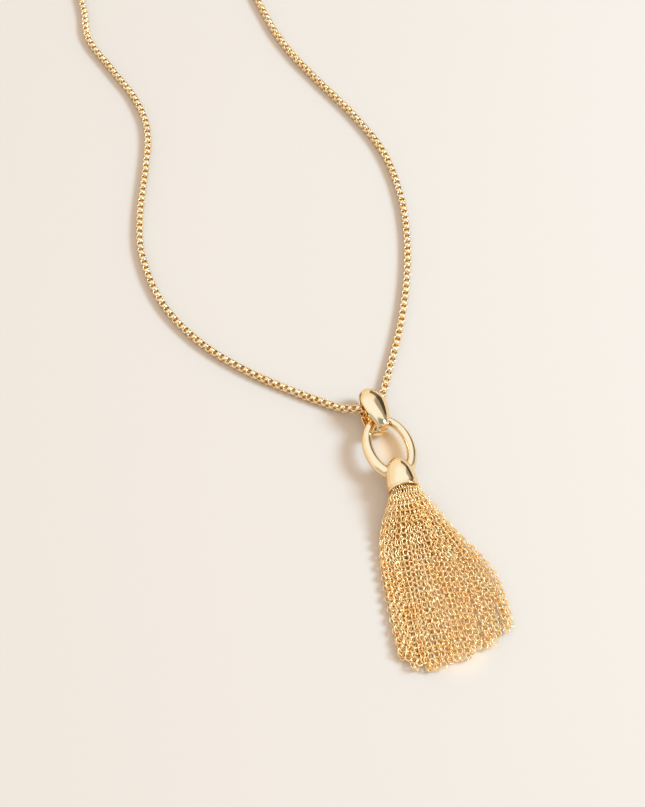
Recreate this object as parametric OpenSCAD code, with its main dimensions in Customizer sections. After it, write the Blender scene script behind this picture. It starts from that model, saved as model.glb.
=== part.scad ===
// Tassel necklace, lying on a flat surface. Millimetres, +Z up.
// The tassel points along -Y and the chain's loop along +Y.

/* [Chain] */
// Width of the round box chain
chain_d = 2.4; // [2:0.1:3]

/* [Clasp] */
// Length of the barrel that closes the chain
clasp_l = 11; // [8:0.5:14]
// Width of the barrel
clasp_d = 4.2; // [4:0.1:5]
// How far each end of the chain goes into the barrel
clasp_socket = 2; // [1:0.1:3]

/* [Bail] */
// Length of the bail's hoop over its outside
bail_l = 15.5; // [15:0.1:17]
// Gap inside the bail between its front and its back
bail_gap = 4.7; // [4.6:0.1:5.2]
// Widest place of the almond-shaped front
bail_front_w = 8.4; // [7:0.1:10]
// Width of the hoop at its upper end
bail_top_w = 2.6; // [2:0.1:4]
// Width of the front's lower tip
bail_tip_w = 4; // [3:0.1:5]
// Width of the hoop at its lower end
bail_end_w = 4.2; // [3.6:0.1:5]
// Width of the back band
bail_back_w = 5.4; // [4:0.1:6]
// Thickness of the front at its middle
bail_front_t = 2.2; // [1.5:0.1:2.5]
// Thickness of the back band and of the two ends
bail_back_t = 1; // [0.7:0.1:1.2]
// How far the bail is rolled towards its right side
bail_roll = 23; // [15:1:35]
// Direction of the bail on the surface
bail_heading = -70; // [-85:1:-60]

/* [Oval ring] */
// Length of the ring over its outside
ring_l = 22; // [20:0.1:26]
// Width of the ring over its outside
ring_w = 15.4; // [14.5:0.1:18]
// Thickness of the ring at its thickest place
ring_thick = 3.4; // [2.8:0.1:3.6]
// Thickness of the ring at its thinnest place
ring_thin = 2.5; // [2:0.1:2.6]
// How much lower the ring's right limb lies
ring_lean = 7.5; // [0:0.5:10]
// Direction of the ring's long axis on the surface
ring_heading = -75; // [-80:1:-60]

/* [Cap] */
// Length of the cap
cap_l = 10.6; // [10.4:0.1:13]
// Width of the cap at its mouth
cap_d = 9.3; // [8.8:0.1:11]
// Thickness of the cap's wall at its mouth
cap_wall = 0.7; // [0.5:0.1:1]
// Depth of the hollow in the cap's mouth
cap_hollow = 2.6; // [2:0.1:2.8]
// Distance from the cap's mouth to the middle of the passage for the ring
cap_passage = 5.3; // [5:0.1:6.5]
// Direction of the cap on the surface
cap_heading = -77; // [-85:1:-65]

/* [Tassel] */
// Length of the middle strands from the cap's mouth
tassel_l = 53; // [40:1:70]
// How much shorter the outer strands are
tassel_taper = 3.5; // [0:0.5:8]
// Angle by which the outer strands spread at the cap
tassel_spread = 28; // [15:1:35]
// Direction of the strands at their ends
tassel_heading = -80.5; // [-90:0.5:-70]
// Thickness of the layers of strands at their ends
tassel_t = 3.4; // [3:0.1:5]

/* [Fit] */
// Clearance between pieces
clearance = 0.15; // [0.1:0.01:0.2]

/* [Hidden] */

up = [0, 0, 1];
gold = [0.88, 0.70, 0.36];
pale_gold = [0.93, 0.78, 0.47];

// Numbers and directions
function unit(v) = v / norm(v);
function mix(a, b, t) = a + (b - a) * t;
function smooth(x) = let (c = min(max(x, 0), 1)) c * c * (3 - 2 * c);
function heading(angle) = [cos(angle), sin(angle), 0];
function power(x, p) = sign(x) * pow(abs(x), p);
function lowest(points, axis) = min([for (p = points) p[axis]]);
function highest(points, axis) = max([for (p = points) p[axis]]);
function joined(rings) = [for (ring = rings) each ring];

// Faces of a tube made of rings with the same number of points, either closed into
// a loop or with flat ends
function tube_faces(rings, n, loop) = concat(
    [for (i = [0 : rings - (loop ? 1 : 2)], k = [0 : n - 1])
        let (j = (i + 1) % rings, l = (k + 1) % n)
        each [[i * n + k, j * n + l, j * n + k], [i * n + k, i * n + l, j * n + l]]],
    loop ? [] : [[for (k = [n - 1 : -1 : 0]) k]],
    loop ? [] : [[for (k = [0 : n - 1]) (rings - 1) * n + k]]
);
module tube(rings, loop = false) {
    polyhedron(joined(rings), tube_faces(len(rings), len(rings[0]), loop), convexity = 6);
}

// Chain
// Route of the chain from the clasp down the left strand, through the bail and up
// the right strand to the clasp. Columns: x, y, height of the chain's underside.
route = [
    [-95, 332, 0], [-111, 300, 0], [-111, 260, 0], [-99, 212, 0], [-86.2, 168, 0],
    [-82.4, 150, 0], [-73, 135, 0], [-63.4, 120, 0], [-58.4, 103, 0], [-58.8, 69, 0],
    [-56.4, 52, 0], [-49, 34.8, 0], [-37, 20.8, 0], [-22, 10.2, 0], [-7, 2.7, 0],
    [2.8, -1.6, 0.2], [7, -3.5, 1.4], [10.6, -4.3, 2.7], [13.5, -3.6, 1.8], [15.8, -2, 1],
    [17.4, 1.2, 0.3], [19.2, 7.5, 0], [23.9, 27.5, 0], [26.5, 46, 0], [27, 64, 0],
    [24.8, 82, 0], [19.4, 99, 0], [10.4, 114, 0], [-1, 129, 0], [-11, 143, 0],
    [-19.2, 159, 0], [-27, 184, 0], [-26, 222, 0], [-19, 259, 0], [-19, 296, 0],
    [-29, 322, 0], [-45, 337, 0],
];
// The two halves of the chain meet just past the route's highest point, inside the bail
route_top = highest(route, 2);
route_middle = [for (i = [0 : len(route) - 1]) if (route[i].z == route_top) i + 1][0];
// Middle of the clasp, which lies along X
clasp_at = [-68, 342];
// How far from the ends of the clasp the chain is straight
clasp_lead = 1;
clasp_straight = 4;
clasp_rounding = clasp_d / 4;
chain_sides = 8;
chain_rings = 2;
chain_r = chain_d / 2;

// The route's points at the middle of the chain, with its straight ends in the clasp
clasp_z = clasp_d / 2;
clasp_reaches = [clasp_l / 2 - clasp_socket, clasp_l / 2 + clasp_lead, clasp_l / 2 + clasp_straight];
function clasp_points(end, order) = [for (i = order)
    [clasp_at.x + end * clasp_reaches[i], clasp_at.y, clasp_z]];
chain_points = concat(
    clasp_points(-1, [0, 1, 2]),
    [for (p = route) [p.x, p.y, p.z + chain_r]],
    clasp_points(1, [2, 1, 0])
);
chain_middle = route_middle + len(clasp_reaches);

// Smooth curve through points: the place a share t after point i
function before(points, i) = i > 0 ? points[i - 1] : 2 * points[0] - points[1];
function after(points, i) = i < len(points) - 1 ? points[i + 1] : 2 * points[i] - points[i - 1];
function curve_at(points, i, t) =
    let (a = before(points, i), b = points[i], c = after(points, i), d = after(points, i + 1))
    (2 * b + (c - a) * t + (2 * a - 5 * b + 4 * c - d) * t * t + (3 * b - a - 3 * c + d) * t * t * t) / 2;
function lifted(p) = [p.x, p.y, max(p.z, chain_r)];
function curve_between(points, first, last, steps) = concat(
    [for (i = [first : last - 1], k = [0 : steps - 1]) lifted(curve_at(points, i, k / steps))],
    [lifted(points[last])]
);
chain_line = curve_between(chain_points, 0, len(chain_points) - 1, chain_rings);
chain_split = chain_middle * chain_rings;

// Ring of points round the chain's line at point i, with a flat below
function chain_ring(line, i) =
    let (along = unit(after(line, i) - before(line, i)),
         side = unit(cross(along, up)),
         above = cross(side, along),
         r = chain_r / cos(180 / chain_sides))
    [for (k = [0 : chain_sides - 1]) let (angle = (k + 0.5) * 360 / chain_sides)
        line[i] + r * (side * cos(angle) + above * sin(angle))];
chain_left_rings = [for (i = [0 : chain_split]) chain_ring(chain_line, i)];
chain_right_rings = [for (i = [chain_split : len(chain_line) - 1]) chain_ring(chain_line, i)];

// Bail
// The bail's axes: down the pendant, out of its front, and towards its left side
bail_side = heading(bail_heading + 90);
bail_down = heading(bail_heading);
bail_out = bail_side * sin(bail_roll) + up * cos(bail_roll);
bail_left = -bail_side * cos(bail_roll) + up * sin(bail_roll);
// Place of the chain in the hoop: along the bail, and resting on the back band
chain_in_bail = [-2.2, -(bail_gap / 2 - chain_r - clearance)];
bail_at = chain_points[chain_middle] - bail_down * chain_in_bail.x - bail_out * chain_in_bail.y;
// The hoop's inner line is an oval with squarish ends
bail_squareness = 2.6;
bail_in_l = bail_l / 2 - bail_back_t;
bail_in_t = bail_gap / 2;
bail_steps = 40;
bail_section = 12;
// Half the thickness of the hoop's edges
bail_edge = 0.35;
// Where the front begins on the way round the hoop, and how fast it grows
bail_front_starts = 0.1;
bail_front_grows = 0.6;
// Share of the length over which the back band widens
bail_back_grows = 1.1;
// Angle between the two places that give the hoop's direction
bail_near = 2;
// The front's widest place and its reach above and below it, as shares of the half length
bail_widest = -0.35;
bail_reach_up = 0.63;
bail_reach_down = 1.19;
// How fully the front's outline swells above and below its widest place
bail_taper_up = 1.4;
bail_taper_down = 2;
// Where the front's thick part steps down near its lower tip, and over how much
bail_step = 0.35;
bail_step_over = 0.3;
function bail_line(a) = [
    bail_in_l * power(sin(a), 2 / bail_squareness),
    bail_in_t * power(cos(a), 2 / bail_squareness)
];
function bail_end_width(share, low) = mix(bail_top_w, low, smooth((share + 1) / 2));
function bail_front_width(share) =
    let (above = share < bail_widest,
         x = abs(share - bail_widest) / (above ? bail_reach_up : bail_reach_down))
    mix(bail_end_width(share, bail_tip_w), bail_front_w,
        max(0, 1 - pow(x, above ? bail_taper_up : bail_taper_down)));
function bail_back_width(share) = mix(bail_top_w, bail_back_w, smooth((share + 1) / bail_back_grows));
// 1 on the front, 0 on the back
function bail_frontness(a) = smooth((cos(a) + bail_front_starts) / bail_front_grows);
function bail_width(a) =
    let (share = bail_line(a).x / bail_in_l)
    mix(
        mix(bail_end_width(share, bail_end_w), bail_back_width(share), smooth(-cos(a))),
        bail_front_width(share),
        bail_frontness(a)
    );
function bail_fullness(a) =
    sin(a) > 0 ? smooth((cos(a) - bail_step) / bail_step_over) : bail_frontness(a) * smooth(cos(a));
function bail_thickness(a) = mix(bail_back_t, bail_front_t, bail_fullness(a));
function bail_ring(a) =
    let (p = bail_line(a),
         q = bail_line(a + bail_near) - bail_line(a - bail_near),
         out = unit([-q.y, q.x]),
         w = bail_width(a) / 2,
         t = bail_thickness(a))
    [for (k = [0 : bail_section - 1])
        let (b = k * 360 / bail_section,
             h = sin(b) > 0 ? mix(bail_edge, t, sin(b)) : bail_edge * (1 + sin(b)),
             place = p + out * h)
        bail_at + bail_down * place.x + bail_out * place.y + bail_left * (w * cos(b))];
bail_rings = [for (i = [0 : bail_steps - 1]) bail_ring((i + 0.5) * 360 / bail_steps)];

// Oval ring
// Half axes of the ring's middle line. The angle round it starts at the cap's end.
ring_long = (ring_l - (ring_thick + ring_thin) / 2) / 2;
ring_short = (ring_w - (ring_thick + ring_thin) / 2) / 2;
ring_thickest = -33;
ring_in_bail = 190;
ring_in_cap = 1.5;
// Room left round the ring in the bail: towards the lower end, and towards the back
ring_play = 2.05;
ring_rest = 0.4;
ring_steps = 44;
ring_section = 12;
function ring_radius(a) = mix(ring_thin, ring_thick, (1 + cos(a - ring_thickest)) / 2) / 2;
// The ring hangs at the hoop's lower end and rests on the left edge of the back band
ring_top_r = ring_radius(ring_in_bail);
ring_reach = bail_in_l - ring_top_r - clearance - ring_play;
ring_lift = bail_back_width(ring_reach / bail_in_l) / 2 * tan(bail_roll - ring_lean);
ring_top = bail_at + bail_down * ring_reach
    - bail_out * (bail_gap / 2 - ring_top_r - ring_rest - ring_lift);
// Slope of the ring's long axis that brings its lower end to the middle of the cap
ring_drop = cap_d / 2 - ring_top.z
    + ring_short * sin(ring_lean) * (sin(ring_in_cap) - sin(ring_in_bail));
ring_slope = asin(ring_drop / (ring_long * (cos(ring_in_cap) - cos(ring_in_bail))));
ring_down = heading(ring_heading) * cos(ring_slope) + up * sin(ring_slope);
ring_right = heading(ring_heading + 90) * cos(ring_lean) - up * sin(ring_lean);
function ring_offset(a) = ring_down * (ring_long * cos(a)) + ring_right * (ring_short * sin(a));
ring_at = ring_top - ring_offset(ring_in_bail);
function ring_line(a) = ring_at + ring_offset(a);
function ring_ring(a, more, n) =
    let (along = unit(ring_line(a + 1) - ring_line(a - 1)),
         out = unit(cross(along, cross(ring_down, ring_right))),
         above = cross(out, along))
    [for (k = [0 : n - 1]) let (b = k * 360 / n)
        ring_line(a) + (ring_radius(a) + more) * (out * cos(b) + above * sin(b))];
ring_rings = [for (i = [0 : ring_steps - 1]) ring_ring(i * 360 / ring_steps, 0, ring_section)];

// Cap
// The cap lies on the surface, with the ring through its passage
cap_r = cap_d / 2;
cap_down = heading(cap_heading);
cap_side = heading(cap_heading + 90);
cap_mouth = [ring_line(ring_in_cap).x, ring_line(ring_in_cap).y, cap_r] + cap_down * cap_passage;
cap_steps = 12;
cap_bluntness = 2.9;
cap_roundness = 1.9;
function cap_radius(h) = cap_r * pow(max(0, 1 - pow(h / cap_l, cap_bluntness)), 1 / cap_roundness);
passage_reach = 60;
passage_steps = 16;

// Tassel
// Path of a strand. Its side goes from -1 at the left edge to 1 at the right edge.
// Its start is a place in the cap's mouth, and share goes from 0 to 1 along it.
strand_steps = 24;
knee_left = 0.13;
knee_right = 0.33;
soft_left = 0.325;
soft_right = 0.737;
function strand_length(side) = tassel_l - tassel_taper * side * side;
function strand_heading(side, share) =
    let (right = (side + 1) / 2,
         knee = mix(knee_left, knee_right, right),
         soft = mix(soft_left, soft_right, right))
    mix(cap_heading, tassel_heading, share) + side * tassel_spread * (1 - smooth((share - knee) / soft));
// Running places of the strand on the surface, a step apart
function strand_line(side, length) =
    let (step = length / strand_steps)
    [for (i = 0, p = [0, 0, 0]; i <= strand_steps;
        p = p + step * heading(strand_heading(side, (i + 0.5) / strand_steps)), i = i + 1) p];

// Locks in two layers. Columns: side, layer, share by which its end is longer.
lock_table = [
    [-1.00, 0, 0.00], [-0.75, 0, 0.01], [-0.50, 0, -0.01], [-0.25, 0, 0.01], [0.00, 0, 0.00],
    [0.25, 0, 0.02], [0.50, 0, -0.01], [0.75, 0, 0.01], [1.00, 0, 0.00],
    [-0.86, 1, -0.02], [-0.57, 1, -0.01], [-0.29, 1, -0.02], [0.00, 1, -0.01], [0.29, 1, -0.02],
    [0.57, 1, 0.00], [0.86, 1, -0.03],
];
lock_sides = 8;
lock_steps = 8;
lock_layers = 2;
// Shares of the mouth's radius: how far out the outer locks start, and half a lock's width there
mouth_share = 0.78;
lock_start_share = 0.2;
// Half sizes of a lock in the mouth of the cap and at its end
mouth_r = cap_r - cap_wall - clearance;
mouth_room = mouth_r * mouth_share;
lock_start_w = mouth_r * lock_start_share;
lock_end_w = 2.3;
lock_end_h = tassel_t / (2 * lock_layers);
// How much narrower a lock is at its tip
lock_tip = 0.6;
// How deep the locks are rooted in the head, and how far the head stands out of the cap
lock_root = 0.8;
head_out = 0.5;
// How far the locks' roots stay inside the head's side
lock_inset = 0.12;
// Shares of the length over which a lock widens and settles on the surface
lock_widen = 0.77;
lock_settle = 0.4;
// Half the height of the mouth's circle beside its middle
function mouth_height(side) = sqrt(mouth_r * mouth_r - pow(side * mouth_room, 2)) / 2 - lock_inset;
function lock_half_h(row, fall) = mix(mouth_height(row[0]), lock_end_h, fall);
function lock_place(row, share) =
    let (line = strand_line(row[0], strand_length(row[0]) * (1 + row[2])),
         fall = smooth(share / lock_settle),
         start_z = (2 * row[1] - 1) * mouth_height(row[0]),
         end_z = lock_half_h(row, fall) * (1 + 2 * row[1]) - cap_r)
    cap_mouth + cap_side * (row[0] * mouth_room) + line[round(share * strand_steps)]
        + up * mix(start_z, end_z, fall);
function lock_ring(row, i) =
    let (share = i / lock_steps,
         tip = i == lock_steps ? lock_tip : 1,
         half_w = mix(lock_start_w, lock_end_w, smooth(share / lock_widen)) * tip,
         half_h = lock_half_h(row, smooth(share / lock_settle)),
         side = i == 0 ? cap_side : heading(strand_heading(row[0], share) + 90))
    [for (k = [0 : lock_sides - 1]) let (b = k * 360 / lock_sides)
        lock_place(row, share) - side * (half_w * cos(b)) + up * (half_h * sin(b))];
function lock_root_ring(row) = [for (p = lock_ring(row, 0)) p - cap_down * lock_root];
lock_rings = [for (row = lock_table)
    concat([lock_root_ring(row)], [for (i = [0 : lock_steps]) lock_ring(row, i)])];

// The origin is at the middle of the outline on the surface
outline = concat(
    joined(chain_left_rings),
    joined(chain_right_rings),
    [for (rings = lock_rings) each joined(rings)],
    [[clasp_at.x, clasp_at.y + clasp_d / 2, 0]]
);
origin = [
    (lowest(outline, 0) + highest(outline, 0)) / 2,
    (lowest(outline, 1) + highest(outline, 1)) / 2,
    0
];
module chain_left() {
    color(gold) translate(-origin) tube(chain_left_rings);
}

module chain_right() {
    color(gold) translate(-origin) tube(chain_right_rings);
}

module clasp() {
    bore = chain_d / cos(180 / chain_sides) + 2 * clearance;
    socket = clasp_socket + clearance;
    color(pale_gold) translate([clasp_at.x, clasp_at.y, clasp_z] - origin) rotate([0, 90, 0])
        difference() {
            union() {
                cylinder(d = clasp_d, h = clasp_l - 2 * clasp_rounding, center = true, $fn = 48);
                cylinder(d = clasp_d - 2 * clasp_rounding, h = clasp_l, center = true, $fn = 48);
                for (end = [-1, 1]) translate([0, 0, end * (clasp_l / 2 - clasp_rounding)])
                    rotate_extrude($fn = 48) translate([clasp_d / 2 - clasp_rounding, 0])
                        circle(r = clasp_rounding, $fn = 32);
            }
            for (end = [-1, 1]) translate([0, 0, end * clasp_l / 2])
                cylinder(d = bore, h = 2 * socket, center = true, $fn = 48);
        }
}

module bail() {
    color(pale_gold) translate(-origin) tube(bail_rings, loop = true);
}

module oval_ring() {
    color(pale_gold) translate(-origin) tube(ring_rings, loop = true);
}

module cap_body() {
    heights = [for (i = [0 : cap_steps]) cap_l * sin(i * 90 / cap_steps)];
    rotate_extrude($fn = 64) polygon(concat(
        [[0, cap_hollow], [cap_r - cap_wall, cap_hollow], [cap_r - cap_wall, 0]],
        [for (h = heights) [cap_radius(h), h]]
    ));
}

module ring_passage() {
    tube([for (i = [0 : passage_steps])
        ring_ring(mix(-passage_reach, passage_reach, i / passage_steps), clearance, ring_section)]);
}

module tassel_cap() {
    color(pale_gold) translate(-origin) difference() {
        translate(cap_mouth) rotate([0, 0, cap_heading - 90]) rotate([90, 0, 0])
            cap_body();
        ring_passage();
    }
}

module tassel_head() {
    translate(cap_mouth + cap_down * head_out) rotate([0, 0, cap_heading - 90]) rotate([90, 0, 0])
        cylinder(r = mouth_r, h = cap_hollow - clearance + head_out, $fn = 32);
}

module tassel() {
    color(gold) translate(-origin) union() {
        tassel_head();
        for (rings = lock_rings) tube(rings);
    }
}

chain_left();
chain_right();
clasp();
bail();
oval_ring();
tassel_cap();
tassel();
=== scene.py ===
"""Looks of a tassel necklace that lies on a pale surface.

The frame gives the fixed solids. Every visible piece here stands for one of them and is
worked out in millimetres from the necklace's own sizes, then made a mesh in metres.
"""
import math
import random

import bmesh
import bpy
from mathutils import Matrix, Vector


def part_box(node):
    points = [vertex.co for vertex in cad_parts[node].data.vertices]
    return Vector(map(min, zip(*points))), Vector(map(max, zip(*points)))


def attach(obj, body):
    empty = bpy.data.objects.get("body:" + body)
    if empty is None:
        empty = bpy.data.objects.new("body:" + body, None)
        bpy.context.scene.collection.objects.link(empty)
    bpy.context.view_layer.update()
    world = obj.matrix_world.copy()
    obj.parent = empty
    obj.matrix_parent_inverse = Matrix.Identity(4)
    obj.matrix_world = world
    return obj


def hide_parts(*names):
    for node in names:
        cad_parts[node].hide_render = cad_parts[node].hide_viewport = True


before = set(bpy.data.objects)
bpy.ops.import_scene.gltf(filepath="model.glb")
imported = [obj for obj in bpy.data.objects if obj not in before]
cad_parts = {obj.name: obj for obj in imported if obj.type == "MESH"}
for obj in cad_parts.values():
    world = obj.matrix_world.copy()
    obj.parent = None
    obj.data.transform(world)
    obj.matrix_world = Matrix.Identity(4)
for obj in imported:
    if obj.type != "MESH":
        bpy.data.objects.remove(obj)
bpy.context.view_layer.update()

MM = 0.001
UP = Vector((0, 0, 1))

# Sizes in millimetres and angles in degrees, as in the part's source where both have them.
# A link's band is its metal's width, and its squareness is 2 for an ellipse.

# Chain
CHAIN_D = 2.4
CHAIN_PITCH = 1.25
CHAIN_LINK = {"length": 1.9, "width": 2.33, "thickness": 0.38, "band": 1.75, "squareness": 2.6}
CHAIN_TWIST = 9
CHAIN_JITTER = 3
CHAIN_SHADE_FILL_R = 0.68

# Clasp
CLASP_L = 11
CLASP_D = 4.2
CLASP_SOCKET = 2
CLASP_AT = Vector((-68, 342, CLASP_D / 2))
CLASP_LEAD = 1
CLASP_STRAIGHT = 4

# Bail
BAIL_L = 15.5
BAIL_GAP = 4.7
BAIL_FRONT_W = 8.4
BAIL_TOP_W = 2.6
BAIL_TIP_W = 4
BAIL_END_W = 4.2
BAIL_BACK_W = 5.4
BAIL_FRONT_T = 2.2
BAIL_BACK_T = 1
BAIL_ROLL = 23
BAIL_HEADING = -70

# Oval ring
RING_L = 22
RING_W = 15.4
RING_THICK = 3.4
RING_THIN = 2.5
RING_LEAN = 7.5
RING_HEADING = -75

# Cap
CAP_L = 10.6
CAP_D = 9.3
CAP_WALL = 0.7
CAP_HOLLOW = 2.6
CAP_PASSAGE = 5.3
CAP_HEADING = -77

# Tassel
TASSEL_L = 53
TASSEL_TAPER = 3.5
TASSEL_SPREAD = 28
TASSEL_HEADING = -80.5
STRAND_PITCH = 1.6
STRAND_LINK = {"length": 2.3, "width": 2.1, "thickness": 0.36, "band": 0.36, "squareness": 2.05}
STRAND_TURN = 66
STRAND_JITTER = 10
STRAND_REACH = 1.75

CLEARANCE = 0.15

# Route of the chain from the clasp down the left strand, through the bail and up the
# right strand to the clasp. Columns: x, y, height of the chain's underside.
ROUTE = [
    (-95, 332, 0), (-111, 300, 0), (-111, 260, 0), (-99, 212, 0), (-86.2, 168, 0),
    (-82.4, 150, 0), (-73, 135, 0), (-63.4, 120, 0), (-58.4, 103, 0), (-58.8, 69, 0),
    (-56.4, 52, 0), (-49, 34.8, 0), (-37, 20.8, 0), (-22, 10.2, 0), (-7, 2.7, 0),
    (2.8, -1.6, 0.2), (7, -3.5, 1.4), (10.6, -4.3, 2.7), (13.5, -3.6, 1.8), (15.8, -2, 1),
    (17.4, 1.2, 0.3), (19.2, 7.5, 0), (23.9, 27.5, 0), (26.5, 46, 0), (27, 64, 0),
    (24.8, 82, 0), (19.4, 99, 0), (10.4, 114, 0), (-1, 129, 0), (-11, 143, 0),
    (-19.2, 159, 0), (-27, 184, 0), (-26, 222, 0), (-19, 259, 0), (-19, 296, 0),
    (-29, 322, 0), (-45, 337, 0),
]
ROUTE_MIDDLE = 18


# Numbers and directions, with angles in degrees
def sine(angle):
    return math.sin(math.radians(angle))


def cosine(angle):
    return math.cos(math.radians(angle))


def mix(a, b, share):
    return a + (b - a) * share


def smooth(x):
    """A soft step from 0 to 1."""
    c = min(max(x, 0), 1)
    return c * c * (3 - 2 * c)


def power(x, exponent):
    """A power that keeps the sign."""
    return math.copysign(abs(x) ** exponent, x)


def heading(angle):
    return Vector((cosine(angle), sine(angle), 0))


def node_middle(node):
    low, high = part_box(node)
    return (low + high) / (2 * MM)


# From the necklace's own places, measured from a point under the bail, to the frame's
SHIFT = node_middle("clasp") - CLASP_AT


# Node trees
class Value:
    """A socket of a node tree, with the operators that add Math nodes."""

    def __init__(self, graph, socket):
        self.graph = graph
        self.socket = socket

    def math(self, operation, *values):
        return self.graph.node("ShaderNodeMath", {"operation": operation}, *values)[0]

    def __add__(self, other):
        return self.math("ADD", self, other)

    def __radd__(self, other):
        return self.math("ADD", other, self)

    def __sub__(self, other):
        return self.math("SUBTRACT", self, other)

    def __rsub__(self, other):
        return self.math("SUBTRACT", other, self)

    def __mul__(self, other):
        return self.math("MULTIPLY", self, other)

    def __rmul__(self, other):
        return self.math("MULTIPLY", other, self)

    def __truediv__(self, other):
        return self.math("DIVIDE", self, other)

    def __rtruediv__(self, other):
        return self.math("DIVIDE", other, self)

    def __pow__(self, other):
        return self.math("POWER", self, other)

    def __mod__(self, other):
        return self.math("FLOORED_MODULO", self, other)

    def __abs__(self):
        return self.math("ABSOLUTE", self)

    def sign(self):
        return self.math("SIGN", self)

    def rounded(self):
        return self.math("ROUND", self)

    def smoothed(self, low, high):
        """A soft step from 0 at low to 1 at high."""
        settings = {"interpolation_type": "SMOOTHSTEP"}
        return self.graph.node("ShaderNodeMapRange", settings, self, low, high)[0]


class Graph:
    """A node tree that is filled by one method."""

    def __init__(self, tree):
        self.tree = tree

    def node(self, kind, settings=None, *values, **named):
        """Adds a node: its settings first, then the values or links of its sockets, in
        their order or by name. Returns its outputs in their order."""
        made = self.tree.nodes.new(kind)
        for key, setting in (settings or {}).items():
            setattr(made, key, setting)
        usable = [s for s in made.inputs if not s.is_unavailable]
        by_name = {s.name: s for s in reversed(usable)}
        pairs = list(zip(usable, values))
        pairs += [(by_name[name.replace("_", " ")], value) for name, value in named.items()]
        for socket, value in pairs:
            self.connect(value, socket)
        return [Value(self, s) for s in made.outputs if not s.is_unavailable]

    def connect(self, value, socket):
        if isinstance(value, Value):
            self.tree.links.new(value.socket, socket)
        elif value is not None:
            socket.default_value = value

    def noise(self, place, scale, detail):
        """Noise over a place in metres, with its scale per metre."""
        return self.node("ShaderNodeTexNoise", {}, Vector=place, Scale=scale, Detail=detail)[0]

    def blend(self, share, first, second):
        """A colour between two colours."""
        return self.node("ShaderNodeMix", {"data_type": "RGBA"}, share, first, second)[0]


# Materials
def new_material(name):
    material = bpy.data.materials.new(name)
    material.use_nodes = True
    material.node_tree.nodes.clear()
    return material, Graph(material.node_tree)


def gold(name, deep, light, metallic, dull, bright, ripple, grain):
    """Plated metal. Its colour runs from deep to light in soft clouds, its roughness from
    bright to dull, and its surface has low ripples and a fine grain, in millimetres."""
    material, g = new_material(name)
    place = g.node("ShaderNodeTexCoord")[3]
    clouds = g.noise(place, 180.0, 3.0).smoothed(0.3, 0.7)
    tone = g.blend(clouds, deep, light)
    worn = g.noise(place, 900.0, 4.0).smoothed(0.35, 0.75)
    height = g.noise(place, 260.0, 1.0) * (ripple * MM) + g.noise(place, 5200.0, 2.0) * (grain * MM)
    bump = g.node("ShaderNodeBump", {}, Strength=1.0, Distance=1.0, Height=height)[0]
    shader = g.node(
        "ShaderNodeBsdfPrincipled", {}, Base_Color=tone, Metallic=metallic,
        Roughness=bright + worn * (dull - bright), Normal=bump,
    )[0]
    g.node("ShaderNodeOutputMaterial", {}, shader)
    return material


def pale_floor(glows):
    """A smooth pale surface with a faint, slow change of tone, and ovals that are warmer where
    gold shines on it. A glow has a middle, a turn, half a length, half a width and a colour."""
    material, g = new_material("pale_surface")
    place = g.node("ShaderNodeTexCoord")[3]
    tone = g.blend(g.noise(place, 3.0, 2.0), (0.650, 0.624, 0.603, 1), (0.670, 0.644, 0.623, 1))
    for middle, turn, half_length, half_width, warm in glows:
        near = g.node(
            "ShaderNodeMapping", {"vector_type": "TEXTURE"},
            Vector=place, Location=(middle + SHIFT) * MM,
            Rotation=(0, 0, math.radians(turn)), Scale=(half_length * MM, half_width * MM, 1),
        )[0]
        away = g.node("ShaderNodeVectorMath", {"operation": "LENGTH"}, near)[0]
        tone = g.blend(1 - away.smoothed(0.45, 1.15), tone, warm)
    grain = g.noise(place, 4000.0, 2.0)
    bump = g.node("ShaderNodeBump", {}, Strength=0.15, Distance=0.02 * MM, Height=grain)[0]
    shader = g.node("ShaderNodeBsdfPrincipled", {}, Base_Color=tone, Roughness=0.9, Normal=bump)[0]
    g.node("ShaderNodeOutputMaterial", {}, shader)
    return material


DEEP = (0.950, 0.690, 0.370, 1)
LIGHT = (0.965, 0.725, 0.415, 1)
SOFT = (1.000, 0.700, 0.330, 1)
PALE = (1.000, 0.790, 0.480, 1)
# The next two colours are painted shade, for the hollows inside the chain and the tassel.
SHADE_DARK = (0.400, 0.155, 0.028, 1)
SHADE_BROWN = (0.500, 0.220, 0.048, 1)
RICH = (1.000, 0.660, 0.270, 1)
WARM = (1.000, 0.745, 0.390, 1)
POLISHED = gold("polished_gold", DEEP, LIGHT, 1.0, 0.08, 0.03, 0.02, 0.0002)
CHAIN_METAL = gold("chain_gold", SOFT, PALE, 0.9, 0.16, 0.08, 0.01, 0.0004)
# A gold painted dark as shade, for the insides of the chain and the tassel.
SHADE_METAL = gold("painted_shade_gold", SHADE_DARK, SHADE_BROWN, 0.9, 0.40, 0.30, 0.01, 0.0004)
STRAND_METAL = gold("tassel_gold", RICH, WARM, 0.48, 0.26, 0.14, 0.01, 0.0004)


# Meshes
def new_piece(name, mesh, material, slot, *nodes):
    """A finished piece, which rides on the necklace and stands for nodes. Its slot is not used."""
    mesh.materials.clear()
    mesh.materials.append(material)
    mesh.polygons.foreach_set("use_smooth", [True] * len(mesh.polygons))
    piece = bpy.data.objects.new(name, mesh)
    bpy.context.scene.collection.objects.link(piece)
    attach(piece, "root")
    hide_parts(*nodes)
    return piece


def mesh_of(name, points, faces):
    """A closed mesh in metres from points in millimetres, with its faces outwards."""
    mesh = bpy.data.meshes.new(name)
    mesh.from_pydata([(p + SHIFT) * MM for p in points], [], faces)
    shape = bmesh.new()
    shape.from_mesh(mesh)
    bmesh.ops.recalc_face_normals(shape, faces=shape.faces)
    shape.to_mesh(mesh)
    shape.free()
    return mesh


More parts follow.
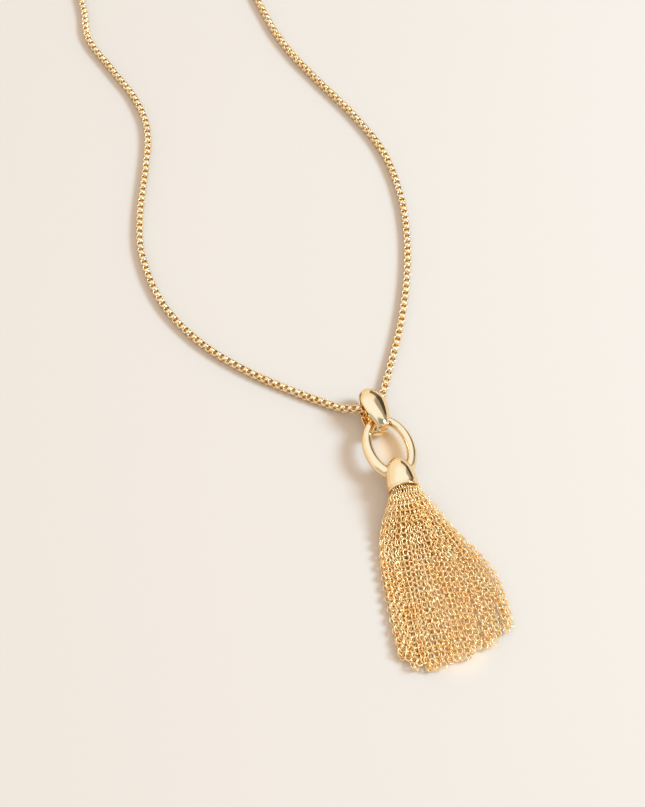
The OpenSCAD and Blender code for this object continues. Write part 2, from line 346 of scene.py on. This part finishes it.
def tube_mesh(name, rings, loop):
    """Rings of points joined into a tube, closed into a loop or with flat ends."""
    n = len(rings[0])
    count = len(rings)
    faces = []
    for i in range(count if loop else count - 1):
        a = i * n
        b = (i + 1) % count * n
        faces += [(a + k, a + (k + 1) % n, b + (k + 1) % n, b + k) for k in range(n)]
    if not loop:
        faces.append(tuple(range(n))[::-1])
        faces.append(tuple(range((count - 1) * n, count * n)))
    return mesh_of(name, [p for ring in rings for p in ring], faces)


def turned_mesh(name, profile, foot, axis, sides):
    """A profile of radius and height turned round an axis. It starts and ends on the axis."""
    across = axis.orthogonal().normalized()
    other = axis.cross(across)
    rings = []
    for radius, height in profile[1:-1]:
        middle = foot + axis * height
        rings.append([
            middle + radius * (across * cosine(k * 360 / sides) + other * sine(k * 360 / sides))
            for k in range(sides)
        ])
    points = [p for ring in rings for p in ring]
    faces = []
    for i in range(len(rings) - 1):
        a = i * sides
        b = a + sides
        faces += [(a + k, a + (k + 1) % sides, b + (k + 1) % sides, b + k) for k in range(sides)]
    last = (len(rings) - 1) * sides
    points += [foot + axis * profile[0][1], foot + axis * profile[-1][1]]
    low, high = len(points) - 2, len(points) - 1
    faces += [(low, (k + 1) % sides, k) for k in range(sides)]
    faces += [(high, last + k, last + (k + 1) % sides) for k in range(sides)]
    return mesh_of(name, points, faces)


def plain_mesh(thing):
    """The evaluated thing as a plain mesh. The thing itself is removed."""
    bpy.context.view_layer.update()
    evaluated = thing.evaluated_get(bpy.context.evaluated_depsgraph_get())
    mesh = bpy.data.meshes.new_from_object(evaluated)
    mesh.name = thing.name
    thing.modifiers.clear()
    bpy.data.objects.remove(thing)
    return mesh


# Links along paths
def link_tree():
    """Geometry nodes that set alternately turned links along every path of a mesh."""
    tree = bpy.data.node_groups.new("links_on_paths", "GeometryNodeTree")
    sockets = [
        ("Paths", "Geometry"), ("Pitch", "Float"), ("Length", "Float"), ("Width", "Float"),
        ("Thickness", "Float"), ("Band", "Float"), ("Squareness", "Float"),
        ("First turn", "Float"), ("Alternate turn", "Float"), ("Jitter", "Float"), ("Seed", "Int"),
        ("Around", "Int"), ("Across", "Int"), ("Metal", "Material"),
    ]
    for name, kind in sockets:
        tree.interface.new_socket(name=name, in_out="INPUT", socket_type="NodeSocket" + kind)
    tree.interface.new_socket(name="Links", in_out="OUTPUT", socket_type="NodeSocketGeometry")
    g = Graph(tree)
    given = dict(zip([name for name, kind in sockets], g.node("NodeGroupInput")))

    path = g.node("GeometryNodeMeshToCurve", {}, given["Paths"])[0]
    length = g.node("GeometryNodeSplineLength")[0]
    count = (length / given["Pitch"]).rounded() + 1
    stations = g.node("GeometryNodeResampleCurve", {"mode": "COUNT"}, Curve=path, Count=count)[0]

    circle = g.node(
        "GeometryNodeCurvePrimitiveCircle", {"mode": "RADIUS"},
        Resolution=given["Around"], Radius=1.0,
    )[0]
    x, y, z = g.node("ShaderNodeSeparateXYZ", {}, g.node("GeometryNodeInputPosition")[0])
    bend = 2 / given["Squareness"]
    along = x.sign() * abs(x) ** bend * ((given["Length"] - given["Thickness"]) / 2)
    across = y.sign() * abs(y) ** bend * ((given["Width"] - given["Thickness"]) / 2)
    outline = g.node("ShaderNodeCombineXYZ", {}, along, across, 0.0)[0]
    loop = g.node("GeometryNodeSetPosition", {}, Geometry=circle, Position=outline)[0]
    loop = g.node("GeometryNodeSetCurveNormal", {"mode": "Z_UP"}, loop)[0]
    round_wire = g.node(
        "GeometryNodeCurvePrimitiveCircle", {"mode": "RADIUS"},
        Resolution=given["Across"], Radius=0.5,
    )[0]
    scale = g.node("ShaderNodeCombineXYZ", {}, given["Thickness"], given["Band"], 1.0)[0]
    wire = g.node("GeometryNodeTransform", {}, Geometry=round_wire, Scale=scale)[0]
    link = g.node("GeometryNodeCurveToMesh", {}, Curve=loop, Profile_Curve=wire)[0]

    tangent = g.node("GeometryNodeInputTangent")[0]
    index = g.node("GeometryNodeSplineParameter")[2]
    roll = g.node("GeometryNodeInputNamedAttribute", {"data_type": "FLOAT"}, "roll")[0]
    chance = g.node(
        "FunctionNodeRandomValue", {"data_type": "FLOAT"},
        Min=-1.0, Max=1.0, Seed=given["Seed"],
    )[0]
    turn = given["First turn"] + index % 2 * given["Alternate turn"]
    turn = turn + roll + chance * given["Jitter"]
    facing = g.node("FunctionNodeAlignRotationToVector", {"axis": "X"}, Vector=tangent)[0]
    level = g.node(
        "FunctionNodeAlignRotationToVector", {"axis": "Z", "pivot_axis": "X"},
        Rotation=facing, Vector=(0, 0, 1),
    )[0]
    spin = g.node("FunctionNodeAxisAngleToRotation", {}, (1, 0, 0), turn)[0]
    turned = g.node("FunctionNodeRotateRotation", {"rotation_space": "LOCAL"}, level, spin)[0]
    set_out = g.node(
        "GeometryNodeInstanceOnPoints", {}, Points=stations, Instance=link, Rotation=turned,
    )[0]
    real = g.node("GeometryNodeRealizeInstances", {}, set_out)[0]
    dressed = g.node("GeometryNodeSetMaterial", {}, Geometry=real, Material=given["Metal"])[0]
    g.node("NodeGroupOutput", {}, dressed)
    return tree


LINKS = link_tree()


def links_mesh(name, paths, link, pitch, metal, turns, jitter, seed, sides):
    """Links set out along paths. A path is a list of points and one of their rolls. The turns are
    the first link's and what each second link has more, and the sides a link's and its metal's."""
    mesh = bpy.data.meshes.new(name)
    points = []
    rolls = []
    edges = []
    for line, line_rolls in paths:
        first = len(points)
        points += [(p + SHIFT) * MM for p in line]
        rolls += [math.radians(roll) for roll in line_rolls]
        edges += [(first + i, first + i + 1) for i in range(len(line) - 1)]
    mesh.from_pydata(points, edges, [])
    mesh.attributes.new("roll", "FLOAT", "POINT").data.foreach_set("value", rolls)
    thing = bpy.data.objects.new(name, mesh)
    bpy.context.scene.collection.objects.link(thing)
    given = {
        "Pitch": pitch * MM, "Length": link["length"] * MM, "Width": link["width"] * MM,
        "Thickness": link["thickness"] * MM, "Band": link["band"] * MM,
        "Squareness": link["squareness"], "First turn": math.radians(turns[0]),
        "Alternate turn": math.radians(turns[1]), "Jitter": math.radians(jitter), "Seed": seed,
        "Around": sides[0], "Across": sides[1], "Metal": metal,
    }
    nodes = thing.modifiers.new("links", "NODES")
    nodes.node_group = LINKS
    for item in LINKS.interface.items_tree:
        if item.name in given:
            nodes[item.identifier] = given[item.name]
    return plain_mesh(thing)


# Chain
def curve_at(points, i, t):
    """Place on the smooth curve through the points, a share t of the way after point i."""
    b, c = points[i], points[i + 1]
    a = points[i - 1] if i > 0 else 2 * b - c
    d = points[i + 2] if i + 2 < len(points) else 2 * c - b
    bend = (2 * a - 5 * b + 4 * c - d) * t ** 2 + (3 * b - a - 3 * c + d) * t ** 3
    p = (2 * b + (c - a) * t + bend) / 2
    return Vector((p.x, p.y, max(p.z, CHAIN_D / 2)))


def clasp_points(end, order):
    """Points of the chain at one end of the clasp, the innermost of them inside its socket."""
    reaches = [CLASP_L / 2 - CLASP_SOCKET, CLASP_L / 2 + CLASP_LEAD, CLASP_L / 2 + CLASP_STRAIGHT]
    return [CLASP_AT + Vector((end * reaches[i], 0, 0)) for i in order]


CHAIN_POINTS = (
    clasp_points(-1, [0, 1, 2])
    + [Vector((x, y, z + CHAIN_D / 2)) for x, y, z in ROUTE]
    + clasp_points(1, [2, 1, 0])
)
CHAIN_MIDDLE = ROUTE_MIDDLE + 3


def chain_line(steps):
    """The chain's middle line, with a number of steps from each chosen point to the next."""
    stretches = range(len(CHAIN_POINTS) - 1)
    line = [curve_at(CHAIN_POINTS, i, k / steps) for i in stretches for k in range(steps)]
    return line + [CHAIN_POINTS[-1]]


def distances(line):
    """The running length at each point of a line."""
    run = [0.0]
    for a, b in zip(line, line[1:]):
        run.append(run[-1] + (b - a).length)
    return run


def stretch(line, run, start, end):
    """The part of a line between two running lengths, with its own end points."""
    def at(s):
        i = next((k for k in range(1, len(run) - 1) if run[k] >= s), len(run) - 1)
        return mix(line[i - 1], line[i], (s - run[i - 1]) / (run[i] - run[i - 1]))
    inner = [p for p, s in zip(line, run) if start < s < end]
    return [at(start)] + inner + [at(end)]


def shade_fill_section(line, i):
    """A section of the dark core: painted shade that stands for the folded inner sides of the links
    and closes the view through them.
    """
    along = line[i + 1] - line[i - 1]
    side = along.cross(UP).normalized()
    above = side.cross(along).normalized()
    sides = 10
    return [
        line[i] + (side * cosine(k * 360 / sides) + above * sine(k * 360 / sides)) * CHAIN_SHADE_FILL_R
        for k in range(sides)
    ]


def chain_roll(run):
    """The slow roll of the links at a running length."""
    wave, drift = 23, 61
    return CHAIN_TWIST * math.sin(run / wave + 2 * math.sin(run / drift))


def make_chain():
    """Both halves of the chain. Their links share one pitch, so that they meet evenly."""
    steps = 12
    line = chain_line(steps)
    run = distances(line)
    gaps = round(run[-1] / CHAIN_PITCH)
    pitch = run[-1] / gaps
    last_left = int(run[CHAIN_MIDDLE * steps] / pitch)
    halves = [
        ("chain_left", 0, last_left * pitch, 0),
        ("chain_right", (last_left + 1) * pitch, run[-1], (last_left + 1) % 2 * 90),
    ]
    for node, start, end, first_turn in halves:
        part = stretch(line, run, start, end)
        rolls = [chain_roll(s) for s in distances(part)]
        links = links_mesh(
            node + "_links", [(part, rolls)], CHAIN_LINK, pitch, CHAIN_METAL,
            turns=(first_turn, 90), jitter=CHAIN_JITTER, seed=4, sides=(12, 6),
        )
        new_piece(node + "_links", links, CHAIN_METAL, "chain_gold", node)
        # The core is coloured as painted shade, for the hollow inside the links.
        shade_fill = tube_mesh(node + "_core", [shade_fill_section(part, i) for i in range(1, len(part) - 1)], False)
        new_piece(node + "_core", shade_fill, SHADE_METAL, "chain_gold", node)


def make_clasp():
    """A plain barrel with rounded ends and a socket for each end of the chain."""
    half = CLASP_L / 2
    round_r = CLASP_D / 4
    chain_sides = 8
    bore = CHAIN_D / (2 * cosine(180 / chain_sides)) + CLEARANCE
    socket = CLASP_SOCKET + CLEARANCE
    right = [(0, half - socket), (bore, half - socket), (bore, half)]
    right += [
        (CLASP_D / 2 - round_r + round_r * sine(a), half - round_r + round_r * cosine(a))
        for a in range(0, 91, 10)
    ]
    left = [(radius, -height) for radius, height in reversed(right)]
    mesh = turned_mesh("clasp_barrel", right + left, CLASP_AT, Vector((1, 0, 0)), 64)
    new_piece("clasp_barrel", mesh, POLISHED, "polished_gold", "clasp")


# Bail
BAIL_SIDE = heading(BAIL_HEADING + 90)
BAIL_DOWN = heading(BAIL_HEADING)
BAIL_OUT = BAIL_SIDE * sine(BAIL_ROLL) + UP * cosine(BAIL_ROLL)
BAIL_LEFT = -BAIL_SIDE * cosine(BAIL_ROLL) + UP * sine(BAIL_ROLL)
CHAIN_IN_BAIL = Vector((-2.2, -(BAIL_GAP / 2 - CHAIN_D / 2 - CLEARANCE)))
BAIL_AT = CHAIN_POINTS[CHAIN_MIDDLE] - BAIL_DOWN * CHAIN_IN_BAIL.x - BAIL_OUT * CHAIN_IN_BAIL.y
BAIL_IN_L = BAIL_L / 2 - BAIL_BACK_T
BAIL_SQUARENESS = 2.6
BAIL_EDGE = 0.35


def bail_line(a):
    """The inside of the hoop at an angle from its front, as a place down and out."""
    exponent = 2 / BAIL_SQUARENESS
    return Vector((BAIL_IN_L * power(sine(a), exponent), BAIL_GAP / 2 * power(cosine(a), exponent)))


def bail_end_width(share, low):
    return mix(BAIL_TOP_W, low, smooth((share + 1) / 2))


def bail_front_width(share):
    """The almond, widest above its middle, from the top at -1 to the tip at 1."""
    widest = -0.35
    reach, taper = (0.63, 1.4) if share < widest else (1.19, 2)
    swell = 1 - (abs(share - widest) / reach) ** taper
    return mix(bail_end_width(share, BAIL_TIP_W), BAIL_FRONT_W, max(0, swell))


def bail_back_width(share):
    return mix(BAIL_TOP_W, BAIL_BACK_W, smooth((share + 1) / 1.1))


def bail_frontness(a):
    """1 on the hoop's front and 0 on its back."""
    return smooth((cosine(a) + 0.1) / 0.6)


def bail_width(a):
    share = bail_line(a).x / BAIL_IN_L
    back = mix(bail_end_width(share, BAIL_END_W), bail_back_width(share), smooth(-cosine(a)))
    return mix(back, bail_front_width(share), bail_frontness(a))


def bail_thickness(a):
    below = smooth((cosine(a) - 0.35) / 0.3)
    above = bail_frontness(a) * smooth(cosine(a))
    return mix(BAIL_BACK_T, BAIL_FRONT_T, below if sine(a) > 0 else above)


def bail_ring(a, section):
    """A section of the hoop, domed outwards and nearly flat inside."""
    p = bail_line(a)
    q = bail_line(a + 2) - bail_line(a - 2)
    out = Vector((-q.y, q.x)).normalized()
    half_w = bail_width(a) / 2
    ring = []
    for k in range(section):
        b = k * 360 / section
        up = sine(b)
        high = mix(BAIL_EDGE, bail_thickness(a), up) if up > 0 else BAIL_EDGE * (1 + up)
        place = p + out * high
        aside = half_w * cosine(b)
        ring.append(BAIL_AT + BAIL_DOWN * place.x + BAIL_OUT * place.y + BAIL_LEFT * aside)
    return ring


def make_bail():
    steps, section = 180, 48
    rings = [bail_ring((i + 0.5) * 360 / steps, section) for i in range(steps)]
    new_piece("bail_hoop", tube_mesh("bail_hoop", rings, True), POLISHED, "polished_gold", "bail")


# Oval ring
RING_LONG = (RING_L - (RING_THICK + RING_THIN) / 2) / 2
RING_SHORT = (RING_W - (RING_THICK + RING_THIN) / 2) / 2
RING_IN_BAIL = 190
RING_IN_CAP = 1.5
RING_PLAY = 2.05
RING_REST = 0.4


def ring_radius(a):
    """Half the metal's thickness at an angle from the ring's foot."""
    thickest = -33
    return mix(RING_THIN, RING_THICK, (1 + cosine(a - thickest)) / 2) / 2


def ring_frame():
    """The ring's middle, its direction down the pendant and its direction to the right."""
    top_r = ring_radius(RING_IN_BAIL)
    reach = BAIL_IN_L - top_r - CLEARANCE - RING_PLAY
    lift = bail_back_width(reach / BAIL_IN_L) / 2 * math.tan(math.radians(BAIL_ROLL - RING_LEAN))
    top = BAIL_AT + BAIL_DOWN * reach - BAIL_OUT * (BAIL_GAP / 2 - top_r - RING_REST - lift)
    drop = CAP_D / 2 - top.z + RING_SHORT * sine(RING_LEAN) * (sine(RING_IN_CAP) - sine(RING_IN_BAIL))
    span = RING_LONG * (cosine(RING_IN_CAP) - cosine(RING_IN_BAIL))
    slope = math.degrees(math.asin(drop / span))
    down = heading(RING_HEADING) * cosine(slope) + UP * sine(slope)
    right = heading(RING_HEADING + 90) * cosine(RING_LEAN) - UP * sine(RING_LEAN)
    offset = down * (RING_LONG * cosine(RING_IN_BAIL)) + right * (RING_SHORT * sine(RING_IN_BAIL))
    return top - offset, down, right


RING_AT, RING_DOWN, RING_RIGHT = ring_frame()


def ring_line(a):
    return RING_AT + RING_DOWN * (RING_LONG * cosine(a)) + RING_RIGHT * (RING_SHORT * sine(a))


def ring_ring(a, more, section):
    """A section of the ring, with more added to its radius."""
    along = (ring_line(a + 1) - ring_line(a - 1)).normalized()
    out = along.cross(RING_DOWN.cross(RING_RIGHT)).normalized()
    above = out.cross(along)
    r = ring_radius(a) + more
    middle = ring_line(a)
    return [
        middle + r * (out * cosine(k * 360 / section) + above * sine(k * 360 / section))
        for k in range(section)
    ]


def make_ring():
    steps, section = 144, 36
    rings = [ring_ring(i * 360 / steps, 0, section) for i in range(steps)]
    mesh = tube_mesh("oval_link", rings, True)
    new_piece("oval_link", mesh, POLISHED, "polished_gold", "oval_ring")


# Cap
CAP_DOWN = heading(CAP_HEADING)
CAP_SIDE = heading(CAP_HEADING + 90)
CAP_R = CAP_D / 2
RING_FOOT = ring_line(RING_IN_CAP)
CAP_MOUTH = Vector((RING_FOOT.x, RING_FOOT.y, CAP_R)) + CAP_DOWN * CAP_PASSAGE


def cap_radius(h):
    """The bullet's radius at a height over its mouth."""
    return CAP_R * max(0, 1 - (h / CAP_L) ** 2.9) ** (1 / 1.9)


def make_cap():
    """A bullet with a hollow mouth and a low lip round it, cut through where the ring passes."""
    rim = 0.22
    lip, lip_foot, lip_top = 0.1, 0.45, 0.7
    waist, waist_rise = 0.12, 1.4
    inner = CAP_R - CAP_WALL
    profile = [(0, CAP_HOLLOW), (inner - rim, CAP_HOLLOW), (inner, CAP_HOLLOW - rim), (inner, rim)]
    profile += [(inner + rim * (1 - cosine(a)), rim * (1 - sine(a))) for a in (30, 60, 90)]
    profile += [(CAP_R - rim * (1 - sine(a)), rim * (1 - cosine(a))) for a in (0, 30, 60, 90)]
    profile += [(CAP_R - lip * (1 - cosine(a)), mix(lip_foot, lip_top, sine(a))) for a in (30, 60, 90)]
    for h in [CAP_L * sine(a) for a in range(4, 90, 3)]:
        profile.append((cap_radius(h) - waist * (1 - smooth((h - lip_top) / waist_rise)), h))
    profile += [(cap_radius(CAP_L * sine(a)), CAP_L * sine(a)) for a in (89, 89.7)]
    profile.append((0, CAP_L))
    body = turned_mesh("cap_shell", profile, CAP_MOUTH, -CAP_DOWN, 96)
    reach = 62
    cutter_rings = [ring_ring(a, CLEARANCE, 32) for a in range(-reach, reach + 1, 4)]
    cutter = bpy.data.objects.new("ring_passage", tube_mesh("ring_passage", cutter_rings, False))
    shell = bpy.data.objects.new("cap_shell", body)
    for thing in (shell, cutter):
        bpy.context.scene.collection.objects.link(thing)
    cut = shell.modifiers.new("passage", "BOOLEAN")
    cut.operation = "DIFFERENCE"
    cut.solver = "EXACT"
    cut.object = cutter
    mesh = plain_mesh(shell)
    bpy.data.objects.remove(cutter)
    new_piece("cap_shell", mesh, POLISHED, "polished_gold", "tassel_cap")
    mesh.set_sharp_from_angle(angle=math.radians(40))


# Tassel
MOUTH_R = CAP_R - CAP_WALL - CLEARANCE
MOUTH_ROOM = 0.78 * MOUTH_R


def strand_heading(side, share):
    """A strand's heading at a share of its length. Side is -1 on the left and 1 on the right,
    where the strands keep fanning out for longer."""
    right = (side + 1) / 2
    knee = mix(0.13, 0.33, right)
    soft = mix(0.325, 0.737, right)
    fan = side * TASSEL_SPREAD * (1 - smooth((share - knee) / soft))
    return mix(CAP_HEADING, TASSEL_HEADING, share) + fan


def strand_path(side, end_z, row, longer, chance):
    """Points and rolls of a strand from its place in the cap's mouth to its free end."""
    steps = 48
    settled = 0.4
    spread_out = 0.77
    length = (TASSEL_L - TASSEL_TAPER * side * side) * (1 + longer)
    room = math.sqrt(MOUTH_R ** 2 - (side * MOUTH_ROOM) ** 2) - 0.5
    start = CAP_MOUTH - CAP_DOWN * 0.4 + CAP_SIDE * (side * MOUTH_ROOM)
    sway = chance.uniform(0.1, 0.5)
    waves = chance.uniform(0.6, 1.8)
    phase = chance.uniform(0, 360)
    roll = -STRAND_TURN / 2 + chance.uniform(-14, 14)
    twist = chance.uniform(-25, 25)
    ground = Vector((0, 0, 0))
    points = []
    rolls = []
    for i in range(steps + 1):
        share = i / steps
        fall = smooth(share / settled)
        aside = heading(strand_heading(side, share) + 90)
        wander = sway * fall * sine(360 * waves * share + phase)
        wander += side * STRAND_REACH * smooth(share / spread_out)
        height = mix(CAP_R + row * room, end_z, fall)
        place = Vector((start.x, start.y, 0)) + ground + aside * wander
        points.append(Vector((place.x, place.y, height)))
        rolls.append(roll + twist * share)
        ground = ground + heading(strand_heading(side, (i + 0.5) / steps)) * (length / steps)
    return points, rolls


def make_strands():
    """Two layers of fine cable chains with uneven ends. A layer has a name, a count of strands,
    the height of their ends and the rows that they take in the cap's mouth by turns."""
    chance = random.Random(7)
    tufts = [chance.uniform(-0.042, 0.01) for _ in range(12)]
    tufts_a_half = 5.9
    outmost = 1.02
    layers = [("under", 25, 1.08, (-0.75, -0.3)), ("over", 22, 1.95, (0.25, 0.75))]
    for layer, count, end_z, rows in layers:
        paths = []
        for i in range(count):
            side = (2 * i + 1) / count - 1
            longer = tufts[int((side + 1) * tufts_a_half)] + chance.uniform(-0.03, 0.004)
            paths.append(strand_path(side * outmost, end_z, rows[i % 2], longer, chance))
        name = "tassel_strands_" + layer
        mesh = links_mesh(
            name, paths, STRAND_LINK, STRAND_PITCH, STRAND_METAL,
            turns=(0, STRAND_TURN), jitter=STRAND_JITTER, seed=count, sides=(12, 5),
        )
        new_piece(name, mesh, STRAND_METAL, "tassel_gold", "tassel")


def make_tassel_shade_sheet():
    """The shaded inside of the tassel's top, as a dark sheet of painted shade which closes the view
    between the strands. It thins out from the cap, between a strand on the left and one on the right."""
    steps = 16
    reach = 20
    thickest, thinnest, sunk = 2.2, 0.3, 0.25
    left, right = [strand_path(side, 1.5, 0, 0, random.Random(3))[0] for side in (-0.8, 0.8)]
    rings = []
    for i in range(steps):
        k = 1 + round(reach * i / steps)
        fade = cosine(90 * i / steps)
        across = (right[k] - left[k]) * (0.5 * fade ** 0.5)
        thick = UP * mix(thinnest, thickest, fade ** 2)
        centre = (left[k] + right[k]) * 0.5 - UP * sunk
        rings.append([centre + across * cosine(a) + thick * sine(a) for a in range(0, 360, 18)])
    mesh = tube_mesh("tassel_shade_sheet", rings, False)
    new_piece("tassel_shade_sheet", mesh, SHADE_METAL, "tassel_gold", "tassel")


def make_head():
    """The plug in the cap's mouth that the strands come out of, coloured dark as painted shade inside
    the mouth.
    """
    foot = -CAP_HOLLOW + CLEARANCE
    edge, dome = -0.6, 0.5
    profile = [(0, foot), (MOUTH_R, foot), (MOUTH_R, edge)]
    profile += [(MOUTH_R * cosine(a), edge + dome * sine(a)) for a in range(15, 90, 15)]
    profile.append((0, edge + dome))
    mesh = turned_mesh("tassel_head", profile, CAP_MOUTH, CAP_DOWN, 48)
    new_piece("tassel_head", mesh, SHADE_METAL, "tassel_gold", "tassel")


# Surroundings
def make_camera():
    """The photo's camera, above the floor and in front of the bail."""
    elevation = 58.5
    focal_px = 1400
    image_h = 807
    height = 354.5
    data = bpy.data.cameras.new("camera")
    data.sensor_width = 36
    data.lens = focal_px * data.sensor_width / image_h
    data.clip_start = 0.01
    camera = bpy.data.objects.new("camera", data)
    back = height / math.tan(math.radians(elevation))
    camera.location = Vector((SHIFT.x, SHIFT.y - back, height)) * MM
    camera.rotation_euler = (math.radians(90 - elevation), 0, 0)
    bpy.context.scene.collection.objects.link(camera)
    bpy.context.scene.camera = camera


def make_floor():
    """The surface, in metres, a hair under the necklace."""
    size = 12
    mesh = bpy.data.meshes.new("floor")
    low = -0.02 * MM
    corners = [(-size, -size, low), (size, -size, low), (size, size, low), (-size, size, low)]
    mesh.from_pydata(corners, [], [(0, 1, 2, 3)])
    glows = [
        (CAP_MOUTH + Vector((9, -31, 0)), -73, 23, 14, (0.98, 0.85, 0.68, 1)),
        (RING_AT + Vector((0.6, 2.6, 0)), RING_HEADING, 9, 5, (0.84, 0.70, 0.54, 1)),
    ]
    mesh.materials.append(pale_floor(glows))
    floor = bpy.data.objects.new("floor", mesh)
    bpy.context.scene.collection.objects.link(floor)


def make_light():
    """A cool key light from the right and a warm pale room. What the metal mirrors of the room
    has a dark doorway at the back right and dark shapes above it and overhead."""
    distance = 1.9
    data = bpy.data.lights.new("key", "AREA")
    data.shape = "DISK"
    data.size = 0.66
    data.energy = 36.5
    data.color = (0.60, 0.82, 0.97)
    key = bpy.data.objects.new("key", data)
    towards = Vector((1.2, 0.12, 1.0)).normalized()
    key.location = (CAP_MOUTH + SHIFT) * MM + towards * distance
    key.rotation_euler = towards.to_track_quat("Z", "Y").to_euler()
    bpy.context.scene.collection.objects.link(key)

    world = bpy.data.worlds.new("room")
    world.use_nodes = True
    world.node_tree.nodes.clear()
    bpy.context.scene.world = world
    g = Graph(world.node_tree)
    x, y, z = g.node("ShaderNodeSeparateXYZ", {}, g.node("ShaderNodeTexCoord")[0])
    round_about = y.math("ARCTAN2", y, x)
    height = z.math("ARCSINE", z)

    def patch(low, high, foot, top, soft):
        """1 between two directions and two heights in degrees, 0 outside, with soft edges."""
        around = round_about.smoothed(math.radians(low - soft), math.radians(low + soft))
        around = around - round_about.smoothed(math.radians(high - soft), math.radians(high + soft))
        upwards = height.smoothed(math.radians(foot - soft), math.radians(foot + soft))
        upwards = upwards - height.smoothed(math.radians(top - soft), math.radians(top + soft))
        return around * upwards

    doorway = patch(34, 80, -24, 20, 3)
    shelf = patch(17, 58, -24, 38, 3)
    overhead = patch(-130, 20, 44, 84, 4)
    far_side = patch(-160, -15, -5, 46, 6)
    window = patch(-30, 10, 8, 34, 5)
    mirrored = 1 - far_side * 0.4 + window * 0.3
    mirrored = mirrored * (1 - doorway * 0.8) * (1 - shelf * 0.6) * (1 - overhead * 0.68)
    upper = height.smoothed(0.3, 0.9)
    path = g.node("ShaderNodeLightPath")
    seen, shiny = path[0], path[3]
    mirrored_colour = g.blend(upper, (1.0, 0.99, 0.98, 1), (1.03, 1.2, 1.52, 1))
    colour = g.blend(shiny, (0.99, 0.806, 0.631, 1), mirrored_colour)
    strength = seen * 0.86 + (1 - seen) * (1 - shiny + shiny * mirrored)
    background = g.node("ShaderNodeBackground", {}, Color=colour, Strength=strength)[0]
    g.node("ShaderNodeOutputWorld", {}, background)


make_chain()
make_clasp()
make_bail()
make_ring()
make_cap()
make_head()
make_tassel_shade_sheet()
make_strands()
make_camera()
make_floor()
make_light()
bpy.context.scene.view_settings.view_transform = "Standard"
